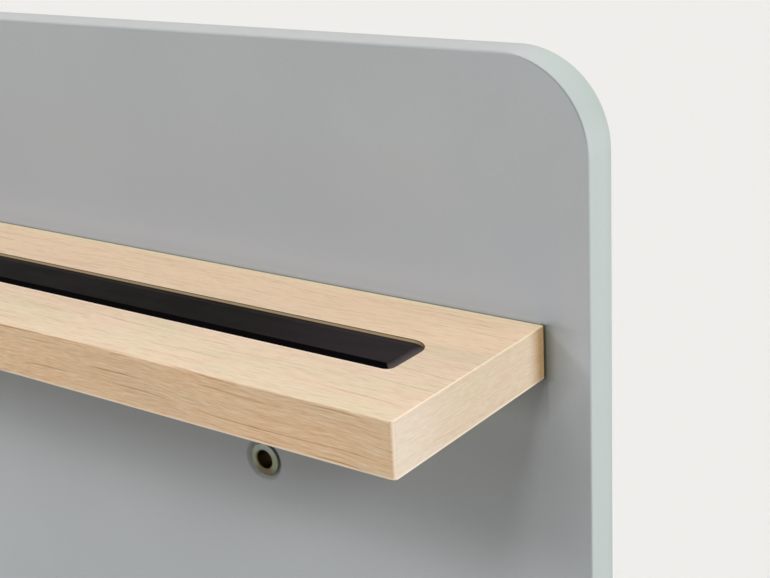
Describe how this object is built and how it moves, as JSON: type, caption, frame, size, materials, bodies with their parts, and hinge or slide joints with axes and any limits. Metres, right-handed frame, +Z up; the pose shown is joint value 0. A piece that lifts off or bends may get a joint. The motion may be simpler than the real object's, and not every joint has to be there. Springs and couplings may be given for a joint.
{
  "type": "figure display shelf",
  "caption": "Wall-hung display shelf: an oak ledge with an inlaid black steel strip, screwed and dowelled to a painted back panel with rounded corners.",
  "frame": {"origin": "centre of the back panel's rear face, where it lies on the wall", "axes": "+X along the shelf, +Y into the wall, +Z up; the front faces -Y"},
  "size_m": [0.6, 0.1063, 0.3],
  "materials": {
    "painted_board": "satin grey-green paint on fibreboard",
    "oak": "light oak, matt oiled",
    "black_steel": "satin black lacquer",
    "tape": "matt foam",
    "zinc_plate": "bright zinc plate",
    "beech": "raw beech",
    "nickel": "dull nickel plate"
  },
  "bodies": {
    "root": {"back_panel": "painted_board", "shelf_board": "oak", "steel_strip": "black_steel", "strip_tape": "tape", "shelf_screw_1": "zinc_plate", "shelf_screw_2": "zinc_plate", "shelf_screw_3": "zinc_plate", "shelf_screw_4": "zinc_plate", "shelf_screw_5": "zinc_plate", "dowel_1": "beech", "dowel_2": "beech", "dowel_3": "beech", "dowel_4": "beech", "wall_screw_ferrule_left": "nickel", "wall_screw_ferrule_right": "nickel"}
  },
  "joints": []
}
